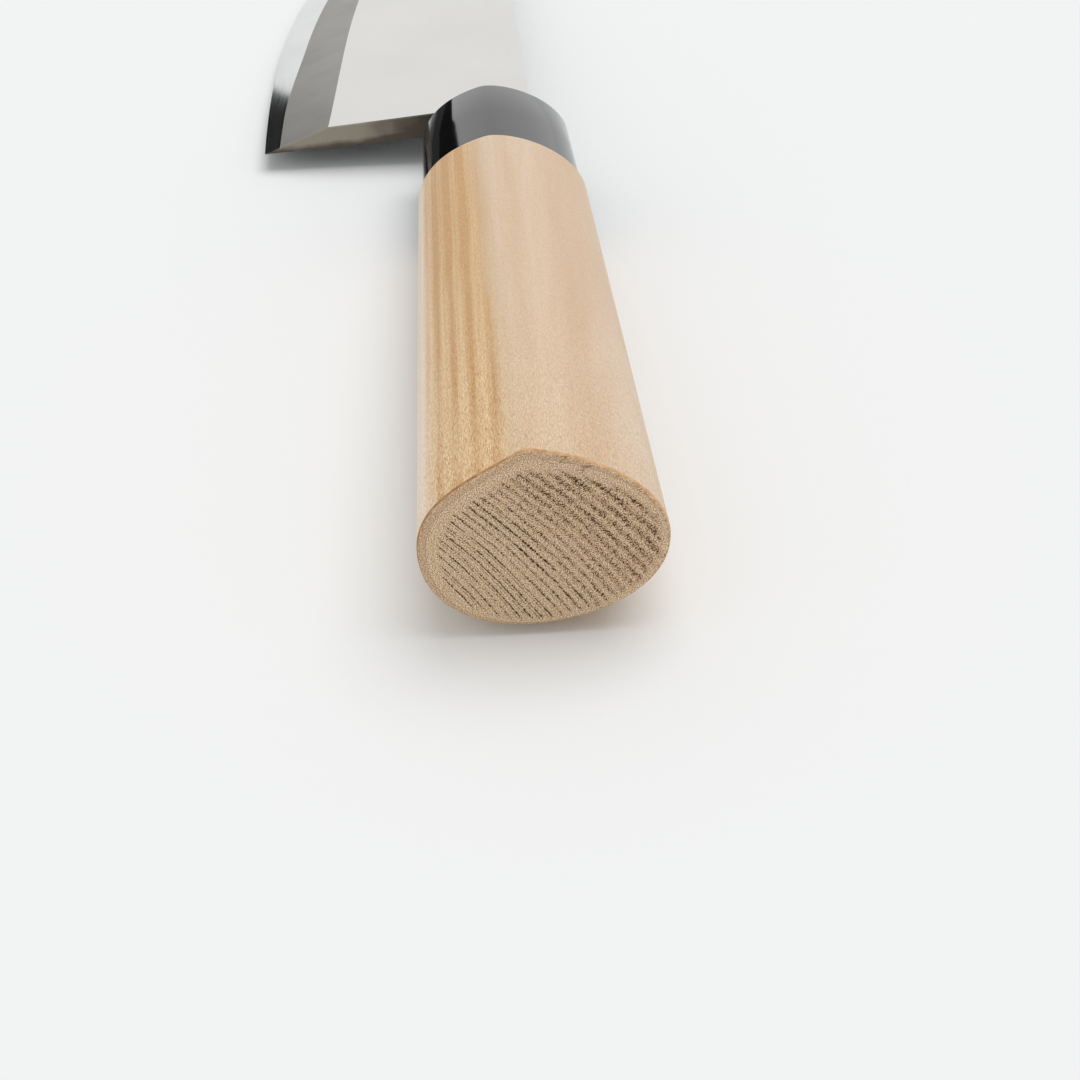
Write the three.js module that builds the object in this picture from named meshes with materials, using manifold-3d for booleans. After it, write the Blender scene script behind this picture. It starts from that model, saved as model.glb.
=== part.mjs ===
// Deba knife: a single-bevel blade of two welded metals, fixed by its tang in a wooden handle.
// Millimetres. The origin is the centre of the butt, +X runs along the handle to the tip,
// +Y to the cutting edge and +Z out of the bevelled face.
import * as THREE from 'three';
import { mergeVertices } from 'three/addons/utils/BufferGeometryUtils.js';
import Module from 'manifold-3d';

const wasm = await Module();
wasm.setup();

// Grip
const gripLength = 106.5;
const buttWidth = 30.9;
const buttThickness = 25.5;
const shoulderWidth = 28.8;
const shoulderThickness = 21.8;
const buttRounding = 0.55;
const shoulderRounding = 1.8;
const tenonLength = 17;

// Ridged oval section shared by the grip, the tenon and the ferrule: the ridge lies towards the edge
// and softens from the butt to the shoulder.
const ridgeOffset = 1.4;
const buttSpineSlope = THREE.MathUtils.degToRad(9.5);
const buttEdgeSlope = THREE.MathUtils.degToRad(28);
const shoulderSpineSlope = THREE.MathUtils.degToRad(3.5);
const shoulderEdgeSlope = THREE.MathUtils.degToRad(12);
const arcSteps = 14;

// Ferrule
const ferruleLength = 27;
const ferruleStep = 0.65;
const ferruleNarrowing = 0.4;
const ferruleRounding = 0.8;
const ferruleWall = 2.8;

// Blade
const edgeLength = 180;
const neckLength = 11.5;
const spineRise = 6.9;
const heelReach = 44;
const shinogiReach = 31.3;
const spineThickness = 5;
const lengthwiseTaper = 0.0125;
const crosswiseTaper = 0.027;
const bladeDrop = 0.85;
const spineDrop = 4.2;
const spineDropLength = 65;
const tipThickness = 0.7;
const tipHeight = 0.7;
const bladeSteps = 40;

// Pull of the edge and shinogi curves at the heel and at the tip
const edgeHeelPull = 70;
const edgeHeelSwell = 2.9;
const edgeTipPull = 30;
const edgeBelly = 43;
const shinogiHeelPull = 62;
const shinogiHeelSink = 3;
const shinogiTipPull = 28;
const shinogiBelly = 31;
const shinogiToTip = 12;

// Layer of edge steel, a little thicker past the heel, and the hollow ground into its back
const edgeSteelThickness = 0.95;
const edgeSteelSwell = 0.3;
const swellStart = 15;
const swellLength = 40;
const hollowDepth = 0.35;
const hollowMargin = 4;
const hollowFade = 12;

// Tang
const tangLength = 66;
const tangEndHeight = 7;
const tangEndThickness = 2.4;
const neckRise = 5;
const neckReach = 7.6;
const neckInset = 0.25;
const neckFillet = 3;

// Fits
const glueGap = 0.3;
const beddingThickness = 0.9;
const sealThickness = 1.1;
const sealDepth = 5;

// Places along the handle
const ferruleFront = gripLength + ferruleLength;
const choil = ferruleFront + neckLength;
const tangEnd = gripLength - tangLength;

// Places along the blade, from the heel
const spineDropStart = edgeLength - spineDropLength;
const shinogiEnd = edgeLength - shinogiToTip;

// Levels of the blade above and below the handle's axis
const backLevel = -bladeDrop - spineThickness / 2;
const weldLevel = backLevel + edgeSteelThickness;
const neckBottom = weldLevel + neckInset;
const neckTop = backLevel + spineThickness - neckInset;

function material(color, roughness, metalness) {
  return new THREE.MeshStandardMaterial({ color, roughness, metalness });
}

function section(x, outline) {
  return outline.map(([y, z]) => new THREE.Vector3(x, y, z));
}

// Skin over a row of sections along +X, each going round from +Y to +Z with the same number of points.
function loft(sections) {
  const count = sections[0].length;
  const last = (sections.length - 1) * count;
  const index = [];
  for (let s = 0; s < last; s += count) {
    for (let i = 0; i < count; i += 1) {
      const next = (i + 1) % count;
      index.push(s + i, s + next, s + count + next);
      index.push(s + i, s + count + next, s + count + i);
    }
  }
  const capOf = (loop) => THREE.ShapeUtils.triangulateShape(loop.map((p) => new THREE.Vector2(p.y, p.z)), []);
  for (const [a, b, c] of capOf(sections[0])) index.push(a, c, b);
  for (const [a, b, c] of capOf(sections.at(-1))) index.push(last + a, last + b, last + c);
  const positions = sections.flat().flatMap((p) => p.toArray());
  const geometry = new THREE.BufferGeometry();
  geometry.setAttribute('position', new THREE.Float32BufferAttribute(positions, 3));
  geometry.setIndex(index);
  return geometry;
}

function solid(geometry) {
  const merged = mergeVertices(geometry, 1e-4);
  const vertProperties = new Float32Array(merged.attributes.position.array);
  const triVerts = new Uint32Array(merged.index.array);
  return new wasm.Manifold(new wasm.Mesh({ numProp: 3, vertProperties, triVerts }));
}

function geometryOf(body) {
  const { vertProperties, triVerts } = body.getMesh();
  const geometry = new THREE.BufferGeometry();
  geometry.setAttribute('position', new THREE.Float32BufferAttribute(vertProperties, 3));
  geometry.setIndex(Array.from(triVerts));
  geometry.computeVertexNormals();
  return geometry;
}

function node(name, body, look) {
  const mesh = new THREE.Mesh(geometryOf(body), look);
  mesh.name = name;
  return mesh;
}

// Oval with one soft ridge on the bevelled side, as points [y, z].
function ridgedOval(width, thickness, spineSlope, edgeSlope) {
  const w = width / 2;
  const t = thickness / 2;
  // Plain numbers are shares of half the width or thickness: how low the widest points lie, and the pulls.
  const ridge = new THREE.Vector2(ridgeOffset, t);
  const spineSide = new THREE.Vector2(-w, -0.09 * t);
  const belly = new THREE.Vector2(ridgeOffset, -t);
  const edgeSide = new THREE.Vector2(w, -0.07 * t);
  const towards = (angle, length) => [ridge.x + length * Math.cos(angle), ridge.y - length * Math.sin(angle)];
  const outline = new THREE.Shape();
  outline.moveTo(...ridge);
  outline.bezierCurveTo(
    ...towards(Math.PI - spineSlope, 0.46 * w), spineSide.x, spineSide.y + 0.58 * t, ...spineSide);
  outline.bezierCurveTo(spineSide.x, spineSide.y - 0.58 * t, belly.x - 0.55 * w, belly.y, ...belly);
  outline.bezierCurveTo(belly.x + 0.53 * w, belly.y, edgeSide.x, edgeSide.y - 0.58 * t, ...edgeSide);
  outline.bezierCurveTo(edgeSide.x, edgeSide.y + 0.62 * t, ...towards(edgeSlope, 0.48 * w), ...ridge);
  return outline.getPoints(arcSteps).slice(0, -1).map((p) => [p.x, p.y]);
}

const sharp = [[0, 0]];

// Rounded end as pairs of distance from the end and inset from the side, starting at the end.
function rounded(length, depth) {
  const steps = 4;
  return Array.from({ length: steps + 1 }, (_, i) => {
    const angle = (i / steps) * (Math.PI / 2);
    return [length * (1 - Math.cos(angle)), depth * (1 - Math.sin(angle))];
  });
}

// Straight-sided tapering length of the ridged oval, with each end rounded or sharp.
function ovalLength(start, end, startSize, endSize, startRim, endRim) {
  const stations = [
    ...startRim.map(([along, inset]) => [start + along, inset]),
    ...endRim.map(([along, inset]) => [end - along, inset]).reverse(),
  ];
  return solid(loft(stations.map(([x, inset]) => {
    const share = (x - start) / (end - start);
    const size = startSize.map((value, i) => THREE.MathUtils.lerp(value, endSize[i], share));
    return section(x, ridgedOval(...inside(size, inset)));
  })));
}

function inside([width, thickness, ...slopes], depth) {
  return [width - 2 * depth, thickness - 2 * depth, ...slopes];
}

// Bar of four-sided sections [x, ySpine, yEdge, zLow, zHigh], its top sloping like the flat of the blade.
function bar(stations) {
  return solid(loft(stations.map(([x, ySpine, yEdge, zLow, zHigh]) => {
    const zEdge = zHigh - crosswiseTaper * (yEdge - ySpine);
    return section(x, [[ySpine, zLow], [yEdge, zLow], [yEdge, zEdge], [ySpine, zHigh]]);
  })));
}

// Tang rectangle at x, grown by a margin on all four sides.
function tangStation(x, margin) {
  const share = Math.min(1, (x - tangEnd) / (ferruleFront - tangEnd));
  const mix = (end, neck) => THREE.MathUtils.lerp(end, neck, share);
  const middle = (neckBottom + neckTop) / 2;
  return [
    x,
    mix(-tangEndHeight / 2, -neckRise) - margin,
    mix(tangEndHeight / 2, neckReach) + margin,
    mix(middle - tangEndThickness / 2, neckBottom) - margin,
    mix(middle + tangEndThickness / 2, neckTop) + margin,
  ];
}

function tangBar(start, end, margin) {
  return bar([tangStation(start, margin), tangStation(end, margin)]);
}

// Neck and tang, flaring by a quarter round into the choil and running on into the blade.
function tang() {
  const stations = [tangStation(tangEnd, 0), tangStation(ferruleFront, 0)];
  const steps = 6;
  for (let i = 0; i <= steps; i += 1) {
    const along = (i / steps) * neckFillet;
    const flare = neckFillet - Math.sqrt(neckFillet ** 2 - along ** 2);
    const station = tangStation(choil - neckFillet + along, 0);
    const riseLimit = spineRise - neckRise - 2 * neckInset;
    station[1] -= Math.min(flare, riseLimit);
    station[2] += flare;
    stations.push(station);
  }
  const rooted = [...stations.at(-1)];
  rooted[0] += neckFillet;
  rooted[4] -= neckInset / 2;
  stations.push(rooted);
  return bar(stations);
}

// Blade outlines as curves in the plane of the back, measured from the heel along the edge.
const edgeCurve = new THREE.CubicBezierCurve(
  new THREE.Vector2(0, heelReach),
  new THREE.Vector2(edgeHeelPull, heelReach + edgeHeelSwell),
  new THREE.Vector2(edgeLength - edgeTipPull, edgeBelly),
  new THREE.Vector2(edgeLength, tipHeight + spineDrop - spineRise),
);
const shinogiCurve = new THREE.CubicBezierCurve(
  new THREE.Vector2(0, shinogiReach),
  new THREE.Vector2(shinogiHeelPull, shinogiReach - shinogiHeelSink),
  new THREE.Vector2(shinogiEnd - shinogiTipPull, shinogiBelly),
  new THREE.Vector2(shinogiEnd, spineAt(shinogiEnd)),
);

function spineAt(run) {
  const past = Math.max(0, run - spineDropStart) / spineDropLength;
  return -spineRise + spineDrop * past ** 2;
}

// Height of a curve at a distance along the blade, found by halving.
function curveAt(curve, run) {
  let low = 0;
  let high = 1;
  for (let i = 0; i < 40; i += 1) {
    const middle = (low + high) / 2;
    if (curve.getPoint(middle).x < run) low = middle;
    else high = middle;
  }
  return curve.getPoint(low).y;
}

function flatAt(run, y) {
  return backLevel + spineThickness - lengthwiseTaper * run - crosswiseTaper * (y + spineRise);
}

// Corners of the blade at a distance from the heel: spine, shinogi and edge with their levels.
function bladeAt(run) {
  const spineY = spineAt(run);
  const edgeY = curveAt(edgeCurve, run);
  if (run < shinogiEnd) {
    const shinogiY = curveAt(shinogiCurve, run);
    return { run, spineY, edgeY, shinogiY, spineZ: flatAt(run, spineY), shinogiZ: flatAt(run, shinogiY) };
  }
  const share = (run - shinogiEnd) / shinogiToTip;
  const spineZ = THREE.MathUtils.lerp(flatAt(shinogiEnd, spineY), backLevel + tipThickness, share);
  return { run, spineY, edgeY, shinogiY: spineY, spineZ, shinogiZ: spineZ };
}

// Where the bevel passes a level between the shinogi and the edge.
function bevelAt(corners, level) {
  const share = (level - backLevel) / (corners.shinogiZ - backLevel);
  return THREE.MathUtils.lerp(corners.edgeY, corners.shinogiY, share);
}

// Level of the weld between the two metals.
function weldAt(run) {
  return weldLevel + edgeSteelSwell * THREE.MathUtils.smoothstep(run, swellStart, swellStart + swellLength);
}

function bladeRuns() {
  return edgeCurve.getPoints(bladeSteps).map((p) => p.x);
}

function bladeCladding() {
  const clad = bladeRuns().map(bladeAt).filter((c) => c.spineZ > weldAt(c.run) + 0.2);
  const sections = clad.map((c) => section(
    choil + c.run,
    [
      [c.spineY, weldAt(c.run)],
      [bevelAt(c, weldAt(c.run)), weldAt(c.run)],
      [Math.max(c.shinogiY, c.spineY + 0.05), c.shinogiZ],
      [c.spineY, c.spineZ],
    ],
  ));
  return node('blade_cladding', solid(loft(sections)).add(tang()), material('#c9c9c6', 0.3, 1));
}

// Hollow of the back at a distance from the heel, as points [y, z] from the edge to the spine.
function hollow(corners) {
  const steps = 8;
  const middle = (corners.edgeY + corners.spineY) / 2;
  const halfWidth = Math.max((corners.edgeY - corners.spineY) / 2 - hollowMargin, 0.1);
  const room = Math.min(1, halfWidth / hollowFade);
  const fade = THREE.MathUtils.smoothstep(corners.run, hollowMargin, hollowMargin + hollowFade);
  return Array.from({ length: steps + 1 }, (_, i) => {
    const across = 1 - (2 * i) / steps;
    return [middle + across * halfWidth, backLevel + hollowDepth * room * fade * (1 - across ** 2)];
  });
}

function edgeSteel() {
  const sections = bladeRuns().map(bladeAt).map((c) => {
    const top = Math.min(weldAt(c.run), c.spineZ);
    const topEdge = Math.max(c.spineY + 0.05, bevelAt(c, top));
    return section(
      choil + c.run,
      [[c.spineY, top], [c.spineY, backLevel], ...hollow(c).reverse(), [c.edgeY, backLevel], [topEdge, top]],
    );
  });
  return node('edge_steel', solid(loft(sections)), material('#d6d8d8', 0.12, 1));
}

// Sizes of the ridged oval, as width, thickness and the slopes of the ridge.
const butt = [buttWidth, buttThickness, buttSpineSlope, buttEdgeSlope];
const shoulder = [shoulderWidth, shoulderThickness, shoulderSpineSlope, shoulderEdgeSlope];
const ferruleRear = inside(shoulder, ferruleStep);
const ferruleNose = inside(ferruleRear, ferruleNarrowing);
const socket = inside(ferruleRear, ferruleWall);
const tenon = inside(socket, glueGap);

function handleGrip() {
  const buttRim = rounded(buttRounding, buttRounding);
  const shoulderRim = rounded(shoulderRounding, ferruleStep);
  const body = ovalLength(0, gripLength, butt, shoulder, buttRim, shoulderRim);
  const peg = ovalLength(gripLength - tenonLength, gripLength + tenonLength, tenon, tenon, sharp, sharp);
  const holeMargin = beddingThickness + 2 * glueGap;
  const hole = tangBar(tangEnd - holeMargin, gripLength + tenonLength + 1, holeMargin);
  return node('handle_grip', body.add(peg).subtract(hole), material('#dcc3a2', 0.7, 0));
}

function ferrule() {
  const noseRim = rounded(ferruleRounding, ferruleRounding);
  const collar = ovalLength(gripLength, ferruleFront, ferruleRear, ferruleNose, sharp, noseRim);
  const recess = ovalLength(gripLength - 1, gripLength + tenonLength + glueGap, socket, socket, sharp, sharp);
  const mouth = tangBar(gripLength, ferruleFront + 1, sealThickness + 2 * glueGap);
  return node('ferrule', collar.subtract(recess).subtract(mouth), material('#17171a', 0.18, 0));
}

function tangBedding() {
  const front = gripLength + tenonLength;
  const bed = tangBar(tangEnd - beddingThickness - glueGap, front, beddingThickness + glueGap);
  const space = tangBar(tangEnd - glueGap, front + 1, glueGap);
  return node('tang_bedding', bed.subtract(space), material('#b98f55', 0.5, 0));
}

function mouthSeal() {
  const plug = tangBar(ferruleFront - sealDepth, ferruleFront, sealThickness + glueGap);
  const space = tangBar(ferruleFront - sealDepth - 1, ferruleFront + 1, glueGap);
  return node('mouth_seal', plug.subtract(space), material('#2a2622', 0.45, 0));
}

const knife = new THREE.Group();
knife.name = 'deba_knife';
knife.add(bladeCladding(), edgeSteel(), ferrule(), handleGrip(), mouthSeal(), tangBedding());

export default knife;
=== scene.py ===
import math
import bmesh
import bpy
from mathutils import Euler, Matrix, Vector
from mathutils.geometry import interpolate_bezier


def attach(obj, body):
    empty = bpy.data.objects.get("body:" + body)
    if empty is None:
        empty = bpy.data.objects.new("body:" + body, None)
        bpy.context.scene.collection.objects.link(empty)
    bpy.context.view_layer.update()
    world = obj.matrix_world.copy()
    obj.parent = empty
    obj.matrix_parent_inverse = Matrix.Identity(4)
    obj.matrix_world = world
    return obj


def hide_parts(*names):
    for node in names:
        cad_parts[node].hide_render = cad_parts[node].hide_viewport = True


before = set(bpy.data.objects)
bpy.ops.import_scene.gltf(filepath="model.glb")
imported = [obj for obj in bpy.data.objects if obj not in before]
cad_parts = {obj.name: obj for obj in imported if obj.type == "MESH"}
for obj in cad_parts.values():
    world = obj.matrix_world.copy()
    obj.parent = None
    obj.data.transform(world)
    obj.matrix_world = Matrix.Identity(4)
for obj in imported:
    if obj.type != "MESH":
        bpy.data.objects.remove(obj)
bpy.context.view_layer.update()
mm = 0.001  # shapes are written in millimetres and scaled when a piece is finished
touching = 1e-4  # points this close, in mm, are one point
nearly = 1e-3  # lengths this close, in mm, count as equal
square = 0.99  # a face whose normal has this share along an axis faces it
print("frame loaded:", sorted(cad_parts))


# materials

def linear(hexColour):
    channels = [int(hexColour[i:i + 2], 16) / 255 for i in (1, 3, 5)]
    return tuple(c / 12.92 if c < 0.04045 else ((c + 0.055) / 1.055) ** 2.4 for c in channels) + (1.0,)


def addNode(tree, kind, inputs=None, stops=None, **settings):
    node = tree.nodes.new(kind)
    for name, value in settings.items():
        setattr(node, name, value)
    for name, value in (inputs or {}).items():
        if isinstance(value, bpy.types.NodeSocket):
            tree.links.new(value, node.inputs[name])
        else:
            node.inputs[name].default_value = linear(value) if isinstance(value, str) else value
    if stops:  # places and hex colours along a colour ramp
        while len(node.color_ramp.elements) < len(stops):
            node.color_ramp.elements.new(0.5)
        for element, (place, colour) in zip(node.color_ramp.elements, stops):
            element.position = place
            element.color = linear(colour)
    return next((socket for socket in node.outputs if socket.enabled), None)


def newMaterial(name, **constants):
    material = bpy.data.materials.new(name)
    material.use_nodes = True
    tree = material.node_tree
    shader = tree.nodes["Principled BSDF"]
    for socket, value in constants.items():
        shader.inputs[socket.replace("_", " ")].default_value = value
    place = addNode(tree, "ShaderNodeTexCoord").node.outputs["Object"]
    return material, tree, shader, place


def wire(tree, shader, **sockets):
    for socket, value in sockets.items():
        tree.links.new(value, shader.inputs[socket.replace("_", " ")])


def perMm(size):  # texture scale that makes a feature this many millimetres wide
    return 1 / (size * mm)


def perMms(x, y, z):
    return (perMm(x), perMm(y), perMm(z))


# outline of the handle, shared by grip, tenon and ferrule

ovalShape = {
    "ridgeOffset": 1.4, "ridgeSoftening": 0.8, "pointsPerArc": 24,
    # shares of half the width or thickness: how low the widest points lie, and the pulls of the curves
    "spineDrop": 0.09, "edgeDrop": 0.07, "ridgePull": 0.4, "sidePull": 0.58, "edgeUpPull": 0.62,
    "spineRidgePull": 0.46, "edgeRidgePull": 0.48, "spineBellyPull": 0.55, "edgeBellyPull": 0.53,
}


def ovalPoints(x, size, inset=0.0):
    width, thickness, spineSlope, edgeSlope = size
    w, t = width / 2 - inset, thickness / 2 - inset
    oval = ovalShape
    ridge = Vector((x, oval["ridgeOffset"], t))
    spineSide = Vector((x, -w, -oval["spineDrop"] * t))
    belly = Vector((x, oval["ridgeOffset"], -t))
    edgeSide = Vector((x, w, -oval["edgeDrop"] * t))
    toSpine = Vector((0, -math.cos(math.radians(spineSlope)), -math.sin(math.radians(spineSlope))))
    toEdge = Vector((0, math.cos(math.radians(edgeSlope)), -math.sin(math.radians(edgeSlope))))
    across, up, pull = Vector((0, w, 0)), Vector((0, 0, t)), oval["sidePull"]
    ridgeSpine = ridge + toSpine * oval["ridgeSoftening"]
    ridgeEdge = ridge + toEdge * oval["ridgeSoftening"]
    arcs = [
        (ridgeEdge, ridge.lerp(ridgeEdge, oval["ridgePull"]), ridge.lerp(ridgeSpine, oval["ridgePull"]),
         ridgeSpine),
        (ridgeSpine, ridge + toSpine * oval["spineRidgePull"] * w, spineSide + up * pull, spineSide),
        (spineSide, spineSide - up * pull, belly - across * oval["spineBellyPull"], belly),
        (belly, belly + across * oval["edgeBellyPull"], edgeSide - up * pull, edgeSide),
        (edgeSide, edgeSide + up * oval["edgeUpPull"], ridge + toEdge * oval["edgeRidgePull"] * w,
         ridgeEdge),
    ]
    points = []
    for arc in arcs:
        points += interpolate_bezier(*arc, oval["pointsPerArc"])[:-1]
    return points


def blendSize(start, end, share):
    return [a + (b - a) * share for a, b in zip(start, end)]


def roundedEnd(length, depth, steps=6):  # distance from the end and inset from the side
    turns = [i / steps * math.pi / 2 for i in range(steps + 1)]
    return [(length * (1 - math.cos(a)), depth * (1 - math.sin(a))) for a in turns]


def addRing(bm, points):
    verts = [bm.verts.new(p) for p in points]
    return [bm.edges.new((a, b)) for a, b in zip(verts, verts[1:] + verts[:1])]


def bridgeRings(bm, rings):
    for near, far in zip(rings, rings[1:]):
        bmesh.ops.bridge_loops(bm, edges=near + far)


def capRing(bm, ring):
    bmesh.ops.edgeloop_fill(bm, edges=ring)


def fillBetween(bm, outer, inner):
    bmesh.ops.triangle_fill(bm, edges=outer + inner, use_beauty=True)


def softCorners(points, radius, count=6, pull=0.55):  # a pull of 0.55 makes the corner round
    soft = []
    for before, corner, after in zip(points[-1:] + points[:-1], points, points[1:] + points[:1]):
        a = corner + (before - corner).normalized() * radius
        b = corner + (after - corner).normalized() * radius
        soft += interpolate_bezier(a, a.lerp(corner, pull), b.lerp(corner, pull), b, count)
    return soft


def tidyNormals(bm):
    bmesh.ops.remove_doubles(bm, verts=bm.verts, dist=touching)
    bmesh.ops.recalc_face_normals(bm, faces=bm.faces)
    bm.normal_update()


def finishPiece(bm, name, materials, node, sharpAngle):
    for face in bm.faces:
        face.smooth = True
    for edge in bm.edges:
        edge.smooth = edge.calc_face_angle(0) < math.radians(sharpAngle)
    openEdges = sum(not edge.is_manifold for edge in bm.edges)
    bmesh.ops.scale(bm, vec=(mm, mm, mm), verts=bm.verts)
    mesh = bpy.data.meshes.new(name)
    bm.to_mesh(mesh)
    bm.free()
    for material in materials:
        mesh.materials.append(material)
    piece = bpy.data.objects.new(name, mesh)
    bpy.context.scene.collection.objects.link(piece)
    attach(piece, "root")
    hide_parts(node)
    print("made", name, "with", len(mesh.polygons), "faces,", openEdges, "open edges")


# tang, shared by the blade, the hole in the grip and the mouth of the ferrule

tang = {
    "end": 40.5, "front": 133.5, "endHalfHeight": 3.5, "endHalfThickness": 1.2,
    "rise": 5.0, "reach": 7.6, "bottom": -2.15, "top": 1.4, "slope": 0.027,
    "fillet": 3.0, "filletSteps": 8, "spineFillet": 1.4, "holeMargin": 1.5, "mouthMargin": 1.7,
}


def tangPoints(x, margin=0.0, flare=0.0):
    share = min(1.0, (x - tang["end"]) / (tang["front"] - tang["end"]))
    middle = (tang["bottom"] + tang["top"]) / 2
    half, thin = tang["endHalfHeight"], tang["endHalfThickness"]
    ends = (-half, half, middle - thin, middle + thin)
    fronts = (-tang["rise"], tang["reach"], tang["bottom"], tang["top"])
    ySpine, yEdge, zLow, zHigh = blendSize(ends, fronts, share)
    ySpine -= margin + min(flare, tang["spineFillet"])
    yEdge += margin + flare
    zLow, zHigh = zLow - margin, zHigh + margin
    zEdge = zHigh - tang["slope"] * (yEdge - ySpine)
    corners = ((ySpine, zLow), (yEdge, zLow), (yEdge, zEdge), (ySpine, zHigh))
    return [Vector((x, y, z)) for y, z in corners]


# grip of unvarnished magnolia

grip = {
    "length": 106.5,
    "butt": (30.9, 25.5, 9.5, 28),  # width, thickness and the two slopes beside the ridge
    "shoulder": (28.8, 21.8, 3.5, 12),
    "buttRounding": (0.55, 0.55), "shoulderRounding": (1.8, 0.65), "stations": (12, 36, 60, 84),
    "tenon": (21.3, 14.3, 3.5, 12), "tenonLength": 17,
    "rimInsets": (5.0, 2.6, 1.3),  # rings on the butt that carry the distance from its rim
    "sawnShare": 0.25,  # share of the rounded corner that still shows end grain
    "ringTurn": math.radians(37.7),  # lays the growth rings at the slope that the butt shows
    "ringBend": -8.1,  # per metre: the rings stand steeper low on the butt
    "ringsPerMm": 0.9, "ringsTighten": 0.01,  # per mm and per mm2: rings are closer on the edge side
    "bandsPerMm": 0.327, "bandsTighten": 0.00475, "bandStart": 0.322,  # brown bands of the long grain
    # places across the growth rings, in mm from the axis
    "honey": (-8.4, -3.5), "honeySlant": -0.024,  # start and full, and the drift per mm ahead
    "sapwood": (5.2, 8.8), "spinePale": (-9, -14), "broadBand": -11.5, "broadBandReach": 1.9,
    # sizes of the patterns in mm as drawn: along the grain, then the two ways across it
    "wander": (38, 9, 9), "cloud": (40, 3.2, 3.2), "bandFade": (35, 2.0, 1), "streak": (28, 0.42, 1),
    "fibre": (0.65, 0.065, 0.065), "vessel": (1.3, 0.075, 0.075), "pore": (0.2, 0.2, 0.2), "fuzz": 0.15,
    "ringBreak": (9, 1.2, 5), "tear": (1, 7, 1.5),
    "longTones": (
        (0.0, "#d9c1a7"), (0.2, "#d6bb9a"), (0.6, "#e1c190"), (0.78, "#eacca3"), (1.0, "#eedbc1")),
    "bandTone": "#e3cdab", "dashTone": "#d6ad86",
    "endTones": ((0.41, "#9f7e5a"), (0.5, "#d4b38b"), (0.59, "#fbe6cb")),
    "ringTone": "#c7a98a", "rubbedTone": "#a67f58", "lineTone": "#6f4a2e", "poreTone": "#3e2819",
    "cornerTones": ((0.2, "#9a6f49"), (0.5, "#bd9063"), (0.8, "#d8ae7f")),
}


def growthRings(tree, place, wanderSize, wanderDetail):  # turned place, and distance across the rings
    turned = addNode(tree, "ShaderNodeMapping", {"Vector": place, "Rotation": (grip["ringTurn"], 0, 0)})
    height = addNode(tree, "ShaderNodeSeparateXYZ", {0: place}).node.outputs["Z"]
    sloping = addNode(tree, "ShaderNodeSeparateXYZ", {0: turned}).node.outputs["Y"]
    squared = addNode(tree, "ShaderNodeMath", {0: height, 1: 2.0}, operation="POWER")
    bent = addNode(tree, "ShaderNodeMath", {0: squared, 1: grip["ringBend"], 2: sloping},
                   operation="MULTIPLY_ADD")
    # rings wander by less than a millimetre along the wood
    stretched = addNode(tree, "ShaderNodeMapping", {"Vector": turned, "Scale": perMms(*grip["wander"])})
    wander = addNode(tree, "ShaderNodeTexNoise", {
        "Vector": stretched, "Scale": 1.0, "Detail": wanderDetail})
    across = addNode(tree, "ShaderNodeMath", {0: wander, 1: wanderSize * mm, 2: bent},
                     operation="MULTIPLY_ADD")
    return turned, across


# settings of a mix node: a tone laid over another one, or one that stains it
layer = {"data_type": "RGBA", "blend_type": "MIX"}
stain = {"data_type": "RGBA", "blend_type": "MULTIPLY"}


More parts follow.
